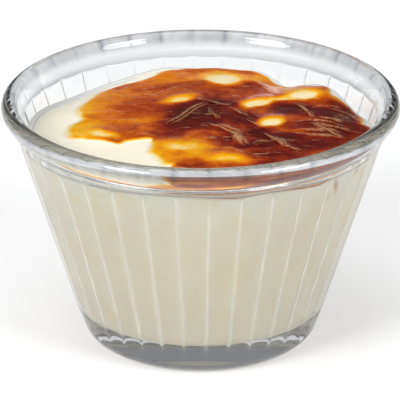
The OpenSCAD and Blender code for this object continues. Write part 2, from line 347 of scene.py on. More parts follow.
class GlassSizes(bpy.types.PropertyGroup):
    rim_d: length_field("Rim diameter", GLASS_BOX[1][0] - GLASS_BOX[0][0], "Outer diameter of the lip")
    body_h: length_field("Height", GLASS_BOX[1][2], "From the table to the top of the lip")
    lip_t: length_field("Lip thickness", 3.6 * MM, "Thickness of the round lip")
    step_drop: length_field("Step drop", 6 * MM, "From the top of the lip to the step under the flare")
    step_in: length_field("Step inset", 2.8 * MM, "How far the step stands inside the rim")
    step_round: length_field("Step rounding", 0.6 * MM, "Radius of the hollow under the flare")
    flare_bulge: angle_field("Flare bulge", 22, "How far the flare turns upwards from the step to the lip")
    wall_lean: angle_field("Wall lean", 17.1, "Lean of the outer wall from upright")
    panel_count: IntProperty(name="Panels", description="Number of panels round the wall", default=36)
    ridge_turn: angle_field("First ridge", 2.5, "Turn of the first ridge from the front")
    ridge_rise: length_field("Ridge rise", 0.08 * MM, "How far a ridge stands over its panels")
    ridge_w_top: length_field("Ridge width at the top", 0.55 * MM, "Width of a ridge under the step")
    ridge_w_low: length_field("Ridge width at the foot", 1.1 * MM, "Width of a ridge where the foot begins")
    foot_start_h: length_field("Foot height", 10 * MM, "Where the wall begins to curve in")
    ridge_end_h: length_field("Ridge end", 4.5 * MM, "Height at which the ridges have run out")
    foot_curve_r: length_field("Foot curve", 160 * MM, "Radius of that slow curve")
    foot_round: length_field("Foot rounding", 4.2 * MM, "Radius of the corner on which the foot stands")
    rest_ring_w: length_field("Resting ring", 3.5 * MM, "Width of the flat ring that touches the table")
    dish_depth: length_field("Dish depth", 0.8 * MM, "Depth of the dish inside that ring")
    floor_t: length_field("Floor thickness", 7.2 * MM, "Thickness of the glass floor")
    wall_low_t: length_field("Wall thickness", 3.3 * MM, "Thickness of the wall beside the floor")
    well_round: length_field("Well rounding", 4 * MM, "Radius between the floor and the wall inside")


class FillingSizes(bpy.types.PropertyGroup):
    headspace: length_field("Headspace", 8.8 * MM, "From the top of the lip to the custard's mean surface")
    front_rise: length_field("Front rise", 0.9 * MM, "Rise of the surface from the back to the front")
    dome_rise: length_field("Dome rise", 0.6 * MM, "Rise of the middle over the edge")
    blister_rise: length_field("Blister rise", 1 * MM, "Rise of the largest blister")
    skin_t: length_field("Skin thickness", 0.5 * MM, "Thickness of the pale skin")
    brown_rise: length_field("Browned rise", 0.6 * MM, "Extra thickness of the browned skin")
    # Both contacts keep air from showing between the filling and the glass
    custard_wet: length_field("Custard contact", 0.03 * MM, "How far its side is let into the glass")
    skin_wet: length_field("Skin contact", 0.05 * MM, "How far the skin's rim is let into the glass")
    rim_t: length_field("Rim thickness", 0.12 * MM, "Thickness of the skin where it meets the glass")
    rim_rise: length_field("Rim rise", 0.35 * MM, "How far the skin climbs the glass")
    pale_rim_w: length_field("Pale rim width", 0.7 * MM, "Pale ring between the browning and the glass")


class Colours(bpy.types.PropertyGroup):
    glass: colour_field("Glass", "#FAFCFB", "Tint of the glass")
    glass_depth: colour_field("Glass in depth", "#C6C8D0", "Colour that the glass takes on where it is thick")
    # Painted shade: the grey-blue that the glass is given at the lip
    glass_lip_painted_shade: colour_field("Glass at the lip", "#666D79", "Colour that the glass looks in the thick lip")
    custard: colour_field("Custard", "#F7EEDA", "Colour of the custard")
    # Painted light: the custard is given a lighter colour towards its top
    custard_top_painted_light: colour_field("Custard near the top", "#FDF6E4", "Colour of the custard under its skin")
    patch: colour_field("Cooked patches", "#F4E4BC", "Colour of the faint patches in the custard")
    stain: colour_field("Stains", "#B0640E", "Colour of the browned runs on the custard's side")
    # Partly the skin's own paler colour and partly a painted highlight on its creases and folds
    crease: colour_field("Creases", "#BE8A5E", "Colour of the lifted creases of the browned skin")
    # Painted shade: the grey of the thin skin where it meets the glass, and of its underside under pale skin
    rim: colour_field("Rim", "#CECDCD", "Colour of the thin rim of the skin on the glass")
    paper: colour_field("Floor", "#E2E2E4", "Colour of the paper floor")
    paper_low: colour_field("Floor fibres", "#DCDCDE", "Colour between the fibres of the paper floor")


class StageSizes(bpy.types.PropertyGroup):
    lens: FloatProperty(name="Lens", description="Focal length of the camera", default=277.9, unit="CAMERA")
    distance: length_field("Distance", 0.6942, "From the camera to the object")
    elevation: angle_field("Elevation", 23.797, "Height of the view over the table")
    tilt: angle_field("Tilt", 0.6773, "How far the camera looks over the object's middle")
    middle_h: length_field("Middle height", 22 * MM, "Height of the object's middle")
    side: length_field("Side step", -0.138 * MM, "How far the camera stands to the right")
    floor_r: length_field("Floor radius", 3, "Radius of the pale floor")


def linear(colour):
    """A colour written as sRGB, a hex string or three shares, as linear red, green, blue and alpha."""
    if isinstance(colour, str):
        colour = shares(colour)
    return [c / 12.92 if c <= 0.04045 else ((c + 0.055) / 1.055) ** 2.4 for c in colour] + [1]


def set_inputs(tree, node, inputs):
    """Sets a node's inputs, by name or number, each to a value or to the socket that it is linked to."""
    for socket, value in inputs.items():
        if isinstance(value, bpy.types.NodeSocket):
            tree.links.new(value, node.inputs[socket])
        else:
            node.inputs[socket].default_value = value


def add_node(tree, kind, inputs, **settings):
    """Adds a shader node with its settings and inputs, and gives its outputs. A ramp's stops are
    places and colours."""
    made = tree.nodes.new("ShaderNode" + kind)
    for field, value in settings.items():
        if field == "stops":
            ramp = made.color_ramp.elements
            while len(ramp) < len(value):
                ramp.new(0.5)
            for stop, (place, colour) in zip(ramp, value):
                stop.position = place
                stop.color = linear(colour)
        else:
            setattr(made, field, value)
    set_inputs(tree, made, inputs)
    return made.outputs


def new_material(name):
    """A material with its shader and output, and the object coordinates that its patterns read."""
    material = bpy.data.materials.new(name)
    material.use_nodes = True
    tree = material.node_tree
    tree.nodes.clear()
    surface = add_node(tree, "BsdfPrincipled", {})[0]
    add_node(tree, "OutputMaterial", {"Surface": surface})
    coords = add_node(tree, "TexCoord", {})["Object"]
    return material, tree, tree.nodes["Principled BSDF"], coords


def white_to_the_eye(tree):
    """A socket that is 1 for what the camera sees straight, in a gloss or through glass,
    and 0 for scattered light."""
    light = add_node(tree, "LightPath", {})
    either = add_node(tree, "Math", {
        0: light["Is Glossy Ray"], 1: light["Is Transmission Ray"]}, operation="ADD", use_clamp=True)
    any_ray = add_node(tree, "Math", {
        0: light["Is Camera Ray"], 1: either[0]}, operation="ADD", use_clamp=True)
    return any_ray[0]


def finish_piece(name, mesh, material, node):
    """Puts a mesh in the scene as the piece that stands for a CAD node."""
    mesh.materials.append(material)
    mesh.shade_smooth()
    piece = bpy.data.objects.new(name, mesh)
    bpy.context.scene.collection.objects.link(piece)
    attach(piece, "root")
    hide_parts(node)
    return piece


def on_circle(centre, radius, angle):
    return (centre[0] + radius * math.cos(angle), centre[1] + radius * math.sin(angle))


def arc(centre, radius, start, end, steps):
    return [on_circle(centre, radius, start + (end - start) * n / steps) for n in range(steps + 1)]


def run(start, end, steps):
    (ax, ay), (bx, by) = start, end
    return [(ax + (bx - ax) * n / steps, ay + (by - ay) * n / steps) for n in range(steps + 1)]


def hollow(start, bend, end, steps):
    """A curve that leaves its start towards the bend and reaches its end from there."""
    def at(t):
        return tuple(start[k] * (1 - t) ** 2 + bend[k] * 2 * t * (1 - t) + end[k] * t * t for k in (0, 1))
    return [at(n / steps) for n in range(steps + 1)]


class GlassSection:
    """The half section of the glass, as (radius, height), and the panels that are pressed into it."""

    def __init__(self, sizes):
        self.sizes = s = sizes
        self.panel = math.pi / s.panel_count
        self.lip_r = s.lip_t / 2
        self.lip_c = (s.rim_d / 2 - self.lip_r, s.body_h - self.lip_r)
        self.step = (s.rim_d / 2 - s.step_in, s.body_h - s.step_drop)
        foot = (self.cone_r(s.foot_start_h), s.foot_start_h)
        self.curve_c = on_circle(foot, -s.foot_curve_r, -s.wall_lean)
        corner_run = math.sqrt((s.foot_curve_r - s.foot_round) ** 2 - (self.curve_c[1] - s.foot_round) ** 2)
        self.corner_c = (self.curve_c[0] + corner_run, s.foot_round)
        self.corner_a = math.atan2(self.corner_c[1] - self.curve_c[1], corner_run)
        self.dish_rim = self.corner_c[0] - s.rest_ring_w
        self.dish_r = (self.dish_rim ** 2 + s.dish_depth ** 2) / (2 * s.dish_depth)
        flare = (self.lip_c[0] - self.step[0], self.lip_c[1] - self.step[1])
        straight = math.atan2(flare[1], flare[0]) - math.asin(self.lip_r / math.hypot(*flare))
        self.flare_a = straight - s.flare_bulge / 2
        well_z = s.floor_t + s.well_round
        well_in = s.wall_low_t + s.well_round + (self.step[1] - well_z) * math.sin(s.wall_lean)
        self.well_c = (self.step[0] - well_in / math.cos(s.wall_lean), well_z)
        well = (self.lip_c[0] - self.well_c[0], self.lip_c[1] - self.well_c[1])
        well_a = math.atan2(well[1], well[0]) + math.asin((self.lip_r + s.well_round) / math.hypot(*well))
        self.well_lean = math.pi / 2 - well_a
        self.well_top = on_circle(self.lip_c, self.lip_r, math.pi - self.well_lean)

    def cone_r(self, z):
        return self.step[0] - (self.step[1] - z) * math.tan(self.sizes.wall_lean)

    def well_r(self, z):
        return self.well_top[0] - (self.well_top[1] - z) * math.tan(self.well_lean)

    def ridge_half(self, z):
        """Half width of a ridge at a height."""
        s = self.sizes
        share = (z - s.foot_start_h) / (self.step[1] - s.foot_start_h)
        share = min(1, max(0, share))
        return (s.ridge_w_low + (s.ridge_w_top - s.ridge_w_low) * share) / 2

    def column(self, number, z):
        """Angle from the panel's middle of a column, numbered from the ridge, negative before the middle."""
        ridge = math.asin(self.ridge_half(z) / self.cone_r(max(z, self.sizes.foot_start_h)))
        n = abs(number)
        if n < len(RIDGE_SHARES):
            off = ridge * RIDGE_SHARES[n]
        else:
            start = ridge * RIDGE_SHARES[-1]
            off = start + (self.panel - start) * PANEL_SHARES[n - len(RIDGE_SHARES)]
        return math.copysign(self.panel - off, number)

    def pressed(self, angle, z):
        """How far the panel lies under the round wall, at an angle from its middle."""
        s = self.sizes
        cone = self.cone_r(z)
        flat = (cone * math.cos(self.panel) - s.ridge_rise) / math.cos(angle)
        off = cone * math.sin(self.panel - abs(angle))
        half = self.ridge_half(z)
        bead = s.ridge_rise * (1 + math.cos(math.pi * off / half)) / 2 if off < half else 0
        fading = smooth((z - s.ridge_end_h) / (s.foot_start_h - s.ridge_end_h))
        return (cone - flat - bead) * fading

    def outline(self, number):
        """The section's points at a column, from the dish's middle round to the floor's middle."""
        s = self.sizes
        dish_a = math.asin(self.dish_rim / self.dish_r)
        dish_c = (0, s.dish_depth - self.dish_r)
        points = arc(dish_c, self.dish_r, math.pi / 2, math.pi / 2 - dish_a, DISH_STEPS)
        points += arc(self.corner_c, s.foot_round, -math.pi / 2, self.corner_a, CORNER_STEPS)
        low = arc(self.curve_c, s.foot_curve_r, self.corner_a, -s.wall_lean, CURVE_STEPS)[1:]
        depth = self.pressed(self.column(number, self.step[1]), self.step[1])
        drop = depth / (1 / math.tan(self.flare_a) - math.tan(s.wall_lean))
        corner = (self.cone_r(self.step[1] - drop) - depth, self.step[1] - drop)
        up_wall = math.pi / 2 - s.wall_lean
        reach = s.step_round * math.tan((up_wall - self.flare_a) / 2)
        before = on_circle(corner, -reach, up_wall)
        after = on_circle(corner, reach, self.flare_a)
        low += [(self.cone_r(z), z) for _, z in run(low[-1], before, WALL_STEPS)[1:-1]]
        points += [(r - self.pressed(self.column(number, z), z), z) for r, z in low]
        points += hollow(before, corner, after, STEP_STEPS)
        # The flare leaves the step like a narrow ledge, and meets the lip nearer the upright
        under_lip = self.flare_a + s.flare_bulge
        meet = on_circle(self.lip_c, self.lip_r, under_lip - math.pi / 2)
        rise_out = (math.cos(self.flare_a), math.sin(self.flare_a))
        rise_in = (math.cos(under_lip), math.sin(under_lip))
        far = (meet[0] - after[0]) * rise_in[1] - (meet[1] - after[1]) * rise_in[0]
        far /= rise_out[0] * rise_in[1] - rise_out[1] * rise_in[0]
        bend = on_circle(after, far, self.flare_a)
        points += hollow(after, bend, meet, FLARE_STEPS)[1:]
        lip_end = math.pi - self.well_lean
        points += arc(self.lip_c, self.lip_r, under_lip - math.pi / 2, lip_end, LIP_STEPS)[1:]
        points += run(self.well_top, on_circle(self.well_c, s.well_round, -self.well_lean), WELL_STEPS)[1:]
        points += arc(self.well_c, s.well_round, -self.well_lean, -math.pi / 2, CORNER_STEPS)[1:]
        points += run((self.well_c[0], s.floor_t), (0, s.floor_t), FLOOR_STEPS)[1:]
        return points


def glass_material(colours):
    """Soda-lime glass, pressed in a mould and fire-polished: clear, with a glossy, very slightly wavy face
    and a hint of grey where it is thick. The pale lines on its ridges are painted highlight, and the
    grey-blue of its lip is painted shade."""
    material, tree, shader, coords = new_material("fire_polished_soda_lime_glass")
    ridge, lip = (
        add_node(tree, "Attribute", {}, attribute_name=name)["Fac"] for name in ("ridge", "lip"))
    # Painted highlight: the ridges are made partly opaque, standing in for the light that they gather, so
    # that they show as soft pale lines
    clear = add_node(tree, "MapRange", {
        "Value": ridge, "From Min": 0.0, "From Max": 1.0, "To Min": 1.0, "To Max": 0.8})
    # Mould chill leaves ripples about 7 mm apart and a few hundredths of a millimetre deep
    ripple = add_node(tree, "TexNoise", {
        "Vector": coords, "Scale": 1 / (7 * MM), "Detail": 1.0, "Roughness": 0.4})
    bump = add_node(tree, "Bump", {"Height": ripple[0], "Distance": 0.04 * MM, "Strength": 0.6})
    # Handling leaves faint dull patches about 15 mm across
    haze = add_node(tree, "TexNoise", {"Vector": coords, "Scale": 1 / (15 * MM), "Detail": 2.0})
    dull = add_node(tree, "MapRange", {
        "Value": haze[0], "From Min": 0.45, "From Max": 0.75, "To Min": 0.0, "To Max": 0.03})
    # Painted shade: the lip's outer side is tinted grey-blue, unevenly, in patches about 3 mm across,
    # standing in for the darker room that it shows
    uneven = add_node(tree, "TexNoise", {"Vector": coords, "Scale": 1 / (3 * MM), "Detail": 2.0})
    taken = add_node(tree, "MapRange", {
        "Value": uneven[0], "From Min": 0.35, "From Max": 0.65, "To Min": 0.7, "To Max": 1.0})
    lip_painted_shade = add_node(tree, "Math", {0: lip, 1: taken[0]}, operation="MULTIPLY")
    tone = add_node(tree, "Mix", {
        0: lip_painted_shade[0], 6: linear(colours.glass), 7: linear(colours.glass_lip_painted_shade)}, data_type="RGBA")
    set_inputs(tree, shader, {
        "Base Color": tone[2], "Roughness": dull[0], "Normal": bump[0],
        "Transmission Weight": clear[0], "IOR": 1.5})
    # A little grey is taken on in depth, so the lip and the thick base are darker than the wall
    depth = add_node(tree, "VolumeAbsorption", {
        "Color": linear(colours.glass_depth), "Density": GLASS_DENSITY})
    set_inputs(tree, tree.nodes["Material Output"], {"Volume": depth[0]})
    return material


def custard_material(colours):
    """Baked egg custard: moist, pale and slightly translucent, with faint cooked patches and tiny
    set bubbles."""
    material, tree, shader, coords = new_material("baked_egg_custard")
    # Cooked patches about 9 mm across, and set curds about 0.6 mm
    patches = add_node(tree, "TexNoise", {
        "Vector": coords, "Scale": 1 / (9 * MM), "Detail": 3.0, "Roughness": 0.55})
    curds = add_node(tree, "TexNoise", {"Vector": coords, "Scale": 1 / (0.6 * MM), "Detail": 2.0})
    place = add_node(tree, "SeparateXYZ", {"Vector": coords})
    # Painted light: the custard is made lighter from 36 to 48 mm up, standing in for the light that falls
    # from above
    up = add_node(tree, "MapRange", {
        "Value": place["Z"], "From Min": 36 * MM, "From Max": 48 * MM, "To Min": 0.0, "To Max": 1.0,
    }, interpolation_type="SMOOTHSTEP")
    body = add_node(tree, "Mix", {
        0: up[0], 6: linear(colours.custard), 7: linear(colours.custard_top_painted_light)}, data_type="RGBA")
    warm = add_node(tree, "MapRange", {
        "Value": patches[0], "From Min": 0.52, "From Max": 0.75, "To Min": 0.0, "To Max": 0.6})
    tinted = add_node(tree, "Mix", {
        0: warm[0], 6: body[2], 7: linear(colours.patch)}, data_type="RGBA")
    stain = add_node(tree, "Attribute", {}, attribute_name="stain")
    stained = add_node(tree, "Mix", {
        0: stain["Fac"], 6: tinted[2], 7: linear(colours.stain)}, data_type="RGBA")
    bump = add_node(tree, "Bump", {"Height": curds[0], "Distance": 0.02 * MM, "Strength": 0.4})
    set_inputs(tree, shader, {
        "Base Color": stained[2], "Roughness": 0.5, "Normal": bump[0], "IOR": 1.38,
        "Subsurface Weight": 0.35, "Subsurface Radius": (1, 0.7, 0.4), "Subsurface Scale": 1.5 * MM})
    return material


def skin_material(colours):
    """The skin that bakes on a custard: cream where pale, then amber, orange and near-black where
    its sugars browned, glossy, with pale creases."""
    material, tree, shader, coords = new_material("browned_custard_skin")
    browning, crease_far, crease_lift, rim = (
        add_node(tree, "Attribute", {}, attribute_name=name)["Fac"]
        for name in ("browning", "crease_far", "crease_lift", "rim"))
    # Mottling about 2.5 mm across, and fine streaks 0.8 mm apart where the skin was drawn together
    mottle = add_node(tree, "TexNoise", {
        "Vector": coords, "Scale": 1 / (2.5 * MM), "Detail": 5.0, "Roughness": 0.65, "Distortion": 0.6})
    drawn = add_node(tree, "Mapping", {
        "Vector": coords, "Rotation": (0.0, 0.0, math.radians(20)), "Scale": (0.25, 1.0, 1.0)})
    streaks = add_node(tree, "TexNoise", {
        "Vector": drawn[0], "Scale": 1 / (0.8 * MM), "Detail": 3.0, "Roughness": 0.6,
        "Distortion": 0.8})
    both = add_node(tree, "Math", {
        0: streaks[0], 1: 0.5, 2: mottle[0]}, operation="MULTIPLY_ADD")
    shift = add_node(tree, "Math", {0: both[0], 1: 0.4, 2: -0.3}, operation="MULTIPLY_ADD")
    gate = add_node(tree, "MapRange", {
        "Value": browning, "From Min": 0.05, "From Max": 0.45, "To Min": 0.1, "To Max": 1.0})
    gated = add_node(tree, "Math", {
        0: shift[0], 1: gate[0], 2: browning}, operation="MULTIPLY_ADD")
    colour = add_node(tree, "ValToRGB", {0: gated[0]}, stops=SKIN_COLOURS)
    # A crease is a bundle of paler strands, ragged about every 1 mm; its paleness is partly the skin's own
    # colour and partly a painted highlight for the light the folds catch. The mesh gives the way to it in
    # half widths
    frayed = add_node(tree, "TexNoise", {"Vector": coords, "Scale": 1 / MM, "Detail": 3.0})
    ragged = add_node(tree, "Math", {
        0: frayed[0], 1: 1.4, 2: crease_far}, operation="MULTIPLY_ADD")
    bundle = add_node(tree, "MapRange", {
        "Value": ragged[0], "From Min": 1.0, "From Max": 1.7, "To Min": 1.0, "To Max": 0.0,
    }, interpolation_type="SMOOTHSTEP")
    strand_turn = add_node(tree, "Math", {0: ragged[0], 1: 9.0}, operation="MULTIPLY")
    strand_wave = add_node(tree, "Math", {0: strand_turn[0]}, operation="SINE")
    strands = add_node(tree, "MapRange", {
        "Value": strand_wave[0], "From Min": -1.0, "From Max": 0.6, "To Min": 0.2, "To Max": 1.0})
    drawn_up = add_node(tree, "Math", {0: bundle[0], 1: strands[0]}, operation="MULTIPLY")
    lifted = add_node(tree, "Math", {0: drawn_up[0], 1: crease_lift}, operation="MULTIPLY")
    # Hair-thin folds, about 2 mm apart and 11 to 15 mm long, lie level on the left and slanting on the right.
    # They are painted pale, partly as the skin's own colour and partly as a painted highlight
    place = add_node(tree, "SeparateXYZ", {"Vector": coords})
    right_side = add_node(tree, "MapRange", {
        "Value": place["X"], "From Min": -5 * MM, "From Max": 3 * MM, "To Min": 0.0, "To Max": 1.0,
    }, interpolation_type="SMOOTHSTEP")
    folds = []
    for lie, long, seed in ((-6, 7, 0.0), (52, 5, 1.0)):
        laid = add_node(tree, "Mapping", {
            "Vector": coords, "Location": (seed, 0.0, 0.0), "Rotation": (0.0, 0.0, math.radians(lie)),
            "Scale": (1 / long, 1.0, 1.0)}, vector_type="POINT")
        level = add_node(tree, "TexNoise", {
            "Vector": laid[0], "Scale": 1 / (2.2 * MM), "Detail": 2.0, "Roughness": 0.5,
            "Distortion": 0.3})
        off = add_node(tree, "Math", {0: level[0], 1: 0.5}, operation="SUBTRACT")
        near = add_node(tree, "Math", {0: off[0]}, operation="ABSOLUTE")
        line = add_node(tree, "MapRange", {
            "Value": near[0], "From Min": 0.0, "From Max": 0.016, "To Min": 1.0, "To Max": 0.0,
        }, interpolation_type="SMOOTHSTEP")
        folds.append(line[0])
    fold = add_node(tree, "Mix", {0: right_side[0], 2: folds[0], 3: folds[1]}, data_type="FLOAT")
    # The folds show in fields about 5 mm across, where the skin is brown
    fields = add_node(tree, "TexNoise", {"Vector": coords, "Scale": 1 / (5 * MM), "Detail": 2.0})
    some = add_node(tree, "MapRange", {
        "Value": fields[0], "From Min": 0.45, "From Max": 0.62, "To Min": 0.0, "To Max": 0.55,
    }, interpolation_type="SMOOTHSTEP")
    some_fold = add_node(tree, "Math", {0: fold[0], 1: some[0]}, operation="MULTIPLY")
    on_brown = add_node(tree, "MapRange", {
        "Value": browning, "From Min": 0.3, "From Max": 0.6, "To Min": 0.0, "To Max": 1.0,
    }, interpolation_type="SMOOTHSTEP")
    brown_fold = add_node(tree, "Math", {
        0: some_fold[0], 1: on_brown[0]}, operation="MULTIPLY")
    raised = add_node(tree, "Math", {0: lifted[0], 1: brown_fold[0]}, operation="MAXIMUM")
    # Creases and folds take the crease colour: partly the skin's own colour, partly a painted highlight
    creased = add_node(tree, "Mix", {
        0: raised[0], 6: colour[0], 7: linear(colours.crease)}, data_type="RGBA")
    # Painted shade: the rim where the skin meets the glass, and the underside under its paler parts, are
    # turned grey
    rimmed = add_node(tree, "Mix", {
        0: rim, 6: creased[2], 7: linear(colours.rim)}, data_type="RGBA")
    # Grain about 1.2 mm across breaks the gloss
    grain = add_node(tree, "TexNoise", {"Vector": coords, "Scale": 1 / (1.2 * MM), "Detail": 3.0})
    relief = add_node(tree, "Math", {
        0: brown_fold[0], 1: 2.0, 2: grain[0]}, operation="MULTIPLY_ADD")
    bump = add_node(tree, "Bump", {"Height": relief[0], "Distance": 0.04 * MM, "Strength": 0.4})
    dull = add_node(tree, "MapRange", {
        "Value": mottle[0], "From Min": 0.3, "From Max": 0.7, "To Min": 0.12, "To Max": 0.22})
    set_inputs(tree, shader, {
        "Base Color": rimmed[2], "Roughness": dull[0], "Normal": bump[0],
        "IOR": 1.45, "Specular IOR Level": 0.04,
        "Subsurface Weight": 0.15, "Subsurface Radius": (1, 0.5, 0.25), "Subsurface Scale": 0.8 * MM})
    return material


def turn_row(bm, points, steps, angle, merge):
    """Turns a row of (radius, height) points about +Z. Each vertex keeps its place in the row, and
    its step if the turn isn't merged into a ring."""
    place = bm.verts.layers.int.new("place")
    step = bm.verts.layers.int.new("step")
    row = [bm.verts.new((r, 0, z)) for r, z in points]
    for n, vert in enumerate(row):
        vert[place] = n
    last = row + [bm.edges.new(pair) for pair in zip(row, row[1:])]
    about = {"cent": (0, 0, 0), "axis": (0, 0, 1)}
    if merge:
        bmesh.ops.spin(bm, geom=last, angle=angle, steps=steps, use_merge=True, **about)
        return place, step
    for n in range(1, steps + 1):
        last = bmesh.ops.spin(bm, geom=last, angle=angle / steps, steps=1, **about)["geom_last"]
        for vert in last:
            if isinstance(vert, bmesh.types.BMVert):
                vert[step] = n
    return place, step


def close_mesh(bm, name, merge_at):
    """Merges what meets, points the faces outwards and gives the mesh."""
    bmesh.ops.remove_doubles(bm, verts=bm.verts[:], dist=merge_at)
    bmesh.ops.recalc_face_normals(bm, faces=bm.faces[:])
    mesh = bpy.data.meshes.new(name)
    bm.to_mesh(mesh)
    bm.free()
    return mesh


def turned(x, y, degrees):
    c, s = math.cos(math.radians(degrees)), math.sin(math.radians(degrees))
    return x * c + y * s, y * c - x * s


def bell(d, w):
    return np.exp(-(d / w) ** 2)


def smooth(t):
    t = np.clip(t, 0, 1)
    return t * t * (3 - 2 * t)


def wander(x, y, wide, tall, seed):
    """Smooth noise over places, from about -1 to 1, with features of a width and a height."""
    return np.array([noise.noise(Vector((a, b, seed))) for a, b in zip(x / wide, y / tall)])


def far_from_path(x, y, path):
    """Distance of places from a path of straight runs, and how far along it each lies, from 0 to 1."""
    best, along = np.full_like(x, 1e9), np.zeros_like(x)
    lengths = [math.dist(a, b) for a, b in zip(path, path[1:])]
    done = 0
    for (ax, ay), (bx, by), length in zip(path, path[1:], lengths):
        dx, dy = bx - ax, by - ay
        t = np.clip(((x - ax) * dx + (y - ay) * dy) / length ** 2, 0, 1)
        far = np.hypot(x - ax - t * dx, y - ay - t * dy)
        along = np.where(far < best, (done + t * length) / sum(lengths), along)
        best = np.minimum(best, far)
        done += length
    return best, along


def inside(x, y, outline):
    """True for places inside a closed outline."""
    odd = np.zeros(x.shape, bool)
    for (ax, ay), (bx, by) in zip(outline, outline[1:] + outline[:1]):
        if ay != by:
            odd ^= ((ay > y) != (by > y)) & (x < (bx - ax) * (y - ay) / (by - ay) + ax)
    return odd


class Filling:
    """Heights and browning of the filling's surface, at places x, y of the layout, in millimetres."""

    def __init__(self, scene):
        self.sizes = scene.filling_sizes
        self.glass = GlassSection(scene.glass_sizes)
        self.fill_z = (scene.glass_sizes.body_h - self.sizes.headspace) / MM

    def plain_z(self, x, y):
        """The surface without blisters, waves and creases."""
        s = self.sizes
        dome = 1 - (x * x + y * y) / LAYOUT_R ** 2
        return self.fill_z - s.front_rise / MM * y / LAYOUT_R / 2 + s.dome_rise / MM * dome

    def custard_z(self, x, y):
        z = self.plain_z(x, y)
        for bx, by, long, wide, turn, share in BLISTERS:
            qx, qy = turned(x - bx, y - by, turn)
            z = z + self.sizes.blister_rise / MM * share * np.exp(-(qx / long) ** 2 - (qy / wide) ** 2)
        azimuth = np.degrees(np.arctan2(y, x))
        edge = bell(LAYOUT_R - np.hypot(x, y), EDGE_WAVE_REACH)
        for at, rise, half in EDGE_WAVES:
            z = z + edge * rise * bell(np.abs((azimuth - at + 540) % 360 - 180), half)
        return z

    def edge_lift(self, x, y):
        """How far the custard's edge is raised, so that its skin is thin where it meets the glass."""
        s = self.sizes
        return (s.skin_t + s.rim_rise - s.rim_t) / MM * bell(LAYOUT_R - np.hypot(x, y), 1)

    def seen(self, x, y, z):
        """Where a place at a height lies on the flat disc of the lists, bent by the flow of the skin."""
        u, v = x, y + (z - LAYOUT_Z) / math.tan(math.radians(VIEW_ELEVATION))
        for n, (size, shift) in enumerate(FLOWS):
            u = u + shift * wander(x, y, size, size, n)
            v = v + shift * wander(x, y, size, size, n + 0.5)
        return u, v

    def browning(self, u, v):
        fade = FADE_W - TORN_CUT * bell(far_from_path(u, v, TORN_EDGE)[0], TORN_REACH)
        edge = far_from_path(u, v, BROWN_OUTLINE + BROWN_OUTLINE[:1])[0]
        edge = np.where(inside(u, v, BROWN_OUTLINE), edge, -edge)
        value = np.full_like(u, MEAN_BROWNING)
        for bx, by, long, wide, turn, level, soft in BROWNING:
            qx, qy = turned(u - bx, v - by, turn)
            far = np.hypot(qx / long, qy / wide)
            value = value + (level - value) * smooth((1 + soft - far) / (2 * soft))
        return value * smooth(0.5 + edge / fade)

    def creases(self, u, v):
        """Rise of creases and wrinkles, the way to the nearest crease in half widths, and how pale it is."""
        rise, near, pale = np.zeros_like(u), np.full_like(u, CREASE_GONE), np.zeros_like(u)
        for half, up, light, path in CREASES:
            # Each crease has a fainter twin beside it
            for side in (0, 1):
                shift = side * (half + TWIN_GAP)
                far, along = far_from_path(u - shift, v + shift / 2, path)
                taper = smooth(4 * along) * smooth(4 - 4 * along)
                share = far / (min(half, CREASE_CAP) * (CREASE_ENDS + CREASE_MIDDLE * taper))
                rise = np.maximum(rise, up * bell(share, 1.3) * taper * (1 - side / 2))
                pale = np.where(share < near, light * taper * (1 - side / 3), pale)
                near = np.minimum(near, share)
        for turn, across, along, up, (cx, cy), reach in WRINKLES:
            qx, qy = turned(u, v, turn)
            line = bell(wander(qx, qy, along, across, turn), WRINKLE_LINE)
            patches = 0.5 + PATCH_CONTRAST * wander(u, v, WRINKLE_PATCH, WRINKLE_PATCH, turn + 0.5)
            field = bell(np.hypot(u - cx, v - cy), reach) * smooth(patches)
            rise = np.maximum(rise, up * line * field)
        return rise, near, pale

    def drips(self, x, y):
        azimuth = np.degrees(np.arctan2(y, x))
        depth = np.zeros_like(x)
        for at, down, half in DRIPS:
            depth = depth + down * bell(np.abs((azimuth - at + 540) % 360 - 180), half)
        return depth


def read_mesh(mesh):
    """Vertex places and their place in the turned row."""
    points = np.empty(len(mesh.vertices) * 3)
    mesh.vertices.foreach_get("co", points)
    place = np.empty(len(mesh.vertices), dtype=np.int32)
    mesh.attributes["place"].data.foreach_get("value", place)
    return points.reshape(-1, 3), place


def write_mesh(mesh, points, values):
    """Moves the vertices and stores values on them under names."""
    mesh.vertices.foreach_set("co", np.ascontiguousarray(points).ravel())
    for name, numbers in values.items():
        mesh.attributes.new(name, "FLOAT", "POINT").data.foreach_set("value", numbers)
    mesh.update()


